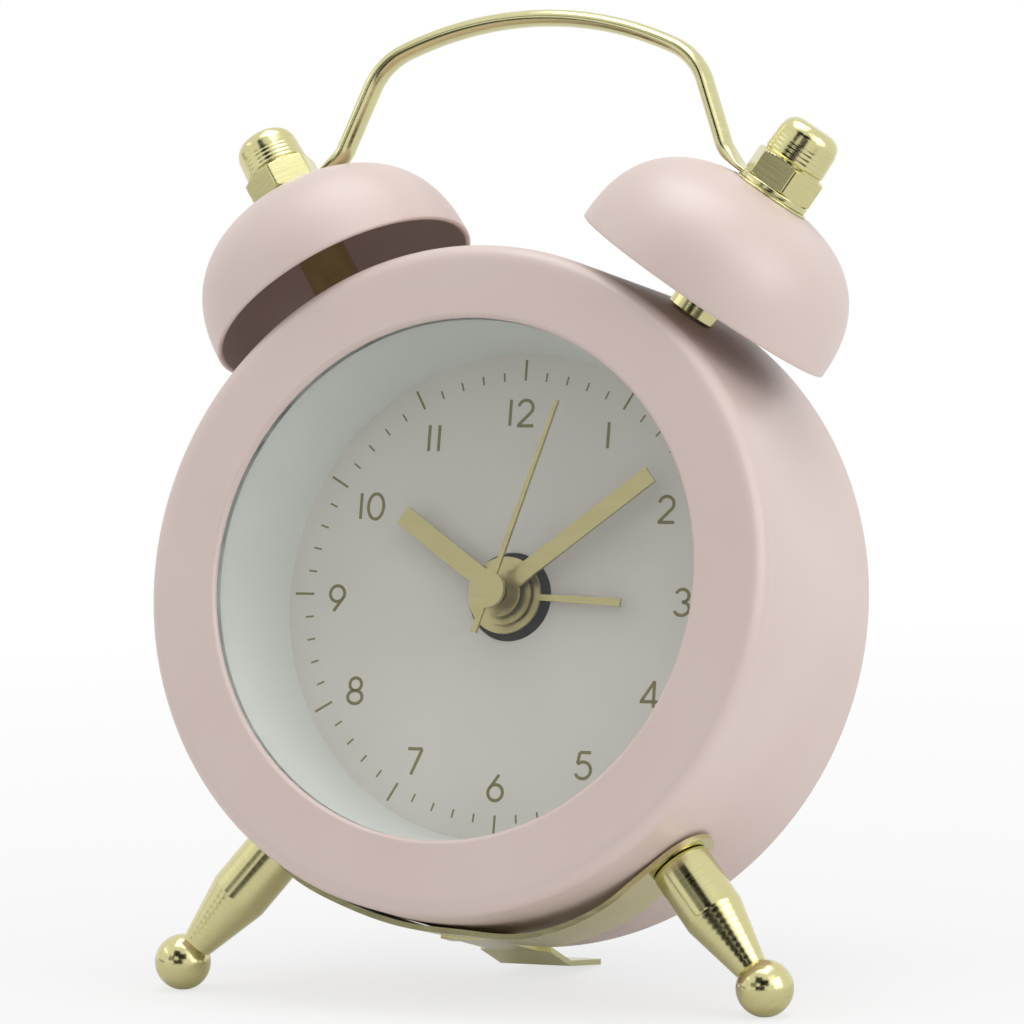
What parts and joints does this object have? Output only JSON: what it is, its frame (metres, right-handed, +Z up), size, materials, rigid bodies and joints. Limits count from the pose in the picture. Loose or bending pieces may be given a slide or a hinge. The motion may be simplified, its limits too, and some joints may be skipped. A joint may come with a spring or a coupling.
{
  "type": "desk clock",
  "caption": "Small twin-bell quartz alarm clock with a round case, carrying handle, turned feet and a rear tab; hands, setting knobs and alarm switch move.",
  "frame": {"origin": "centre of the footprint box, on the plane that the feet stand on", "axes": "+Z up, the dial faces -Y and leans back, +X to the right seen from the front"},
  "size_m": [0.0624, 0.0376, 0.0877],
  "materials": {
    "pink_enamel": "satin pink paint on sheet metal",
    "brass": "polished brass",
    "hand_brass": "bright stamped brass",
    "glass": "clear polished glass",
    "ring_plastic": "smooth pale grey moulding",
    "dial_print": "matt warm grey dial with olive print",
    "movement_plastic": "black moulded plastic",
    "gear_plastic": "natural white moulded plastic",
    "steel": "plated steel",
    "magnet": "grey magnet with a plastic pinion",
    "copper": "enamelled copper wire",
    "board": "green board",
    "chip": "black resin",
    "cover_plastic": "black moulded plastic with a fine grain"
  },
  "bodies": {
    "clock": {"case_shell": "pink_enamel", "lens": "glass", "dial_ring": "ring_plastic", "dial_plate": "dial_print", "bell_left": "pink_enamel", "bell_right": "pink_enamel", "bell_posts": "brass", "post_screws": "steel", "bell_washers": "brass", "cap_nuts": "brass", "handle": "brass", "leg_left": "brass", "leg_right": "brass", "leg_screws": "steel", "leg_strip": "brass", "movement_front_plate": "movement_plastic", "movement_middle_plate": "movement_plastic", "movement_rear_case": "movement_plastic", "movement_screws": "steel", "dial_screws": "steel", "stator": "steel", "coil_core": "steel", "coil_bobbin": "movement_plastic", "coil_winding": "copper", "circuit_board": "board", "clock_chip": "chip", "quartz_crystal": "steel", "buzzer": "movement_plastic", "alarm_contact_spring": "steel", "button_cell": "steel", "cell_contact_plus": "steel", "cell_contact_minus": "steel", "back_cover": "cover_plastic", "back_screws": "steel"},
    "rotor": {"rotor": "magnet"},
    "intermediate_wheel": {"intermediate_wheel": "gear_plastic"},
    "second_wheel": {"second_wheel": "gear_plastic", "second_hand": "hand_brass"},
    "third_wheel": {"third_wheel": "gear_plastic"},
    "centre_wheel": {"centre_wheel": "gear_plastic"},
    "minute_arbor": {"minute_arbor": "gear_plastic", "minute_hand": "hand_brass"},
    "motion_wheel": {"motion_wheel": "gear_plastic"},
    "hour_wheel": {"hour_wheel": "gear_plastic", "hour_hand": "hand_brass"},
    "time_set": {"time_set_arbor": "gear_plastic", "time_set_knob": "cover_plastic"},
    "alarm_wheel": {"alarm_wheel": "gear_plastic", "alarm_hand": "hand_brass"},
    "alarm_set": {"alarm_set_arbor": "gear_plastic", "alarm_set_knob": "cover_plastic"},
    "alarm_switch": {"alarm_switch": "cover_plastic"},
    "battery_door": {"battery_door": "cover_plastic"}
  },
  "joints": [
    {"name": "rotor_turn", "type": "hinge", "parent": "clock", "child": "rotor", "pos_m": [0.00475, 0.0055, 0.02525], "axis": [0, 0.9708, -0.2401], "continuous": true},
    {"name": "intermediate_turn", "type": "hinge", "parent": "clock", "child": "intermediate_wheel", "pos_m": [0.00475, 0.00637, 0.02874], "axis": [0, 0.9708, -0.2401], "continuous": true},
    {"name": "second_turn", "type": "hinge", "parent": "clock", "child": "second_wheel", "pos_m": [0, 0.00751, 0.03336], "axis": [0, 0.9708, -0.2401], "continuous": true},
    {"name": "third_turn", "type": "hinge", "parent": "clock", "child": "third_wheel", "pos_m": [-0.00481, 0.00769, 0.03826], "axis": [0, 0.9708, -0.2401], "continuous": true},
    {"name": "centre_turn", "type": "hinge", "parent": "clock", "child": "centre_wheel", "pos_m": [0, 0.00586, 0.03376], "axis": [0, 0.9708, -0.2401], "continuous": true},
    {"name": "minute_turn", "type": "hinge", "parent": "clock", "child": "minute_arbor", "pos_m": [0, 0.00168, 0.0348], "axis": [0, 0.9708, -0.2401], "continuous": true},
    {"name": "motion_turn", "type": "hinge", "parent": "clock", "child": "motion_wheel", "pos_m": [-0.00424, 0.00261, 0.0302], "axis": [0, 0.9708, -0.2401], "continuous": true},
    {"name": "hour_turn", "type": "hinge", "parent": "clock", "child": "hour_wheel", "pos_m": [0, 0.00168, 0.0348], "axis": [0, 0.9708, -0.2401], "continuous": true},
    {"name": "time_set_turn", "type": "hinge", "parent": "clock", "child": "time_set", "pos_m": [-0.00848, 0.00547, 0.02512], "axis": [0, 0.9708, -0.2401], "continuous": true},
    {"name": "alarm_turn", "type": "hinge", "parent": "clock", "child": "alarm_wheel", "pos_m": [0, 0.00168, 0.0348], "axis": [0, 0.9708, -0.2401], "continuous": true},
    {"name": "alarm_set_turn", "type": "hinge", "parent": "clock", "child": "alarm_set", "pos_m": [0.00709, 0.00721, 0.03214], "axis": [0, 0.9708, -0.2401], "continuous": true},
    {"name": "switch_slide", "type": "slide", "parent": "clock", "child": "alarm_switch", "axis": [1, 0, 0], "range_m": [0, 0.0025]},
    {"name": "door_lift", "type": "slide", "parent": "clock", "child": "battery_door", "axis": [0, 0.9708, -0.2401], "range_m": [0, 0.01]}
  ],
  "couplings": [
    {"joint": "intermediate_turn", "follows": "rotor_turn", "ratio": -0.2},
    {"joint": "second_turn", "follows": "rotor_turn", "ratio": 0.033333},
    {"joint": "third_turn", "follows": "rotor_turn", "ratio": -0.0044444},
    {"joint": "centre_turn", "follows": "rotor_turn", "ratio": 0.00055556},
    {"joint": "motion_turn", "follows": "minute_turn", "ratio": -0.33333},
    {"joint": "hour_turn", "follows": "minute_turn", "ratio": 0.083333},
    {"joint": "time_set_turn", "follows": "minute_turn", "ratio": 1},
    {"joint": "alarm_set_turn", "follows": "alarm_turn", "ratio": -2}
  ]
}
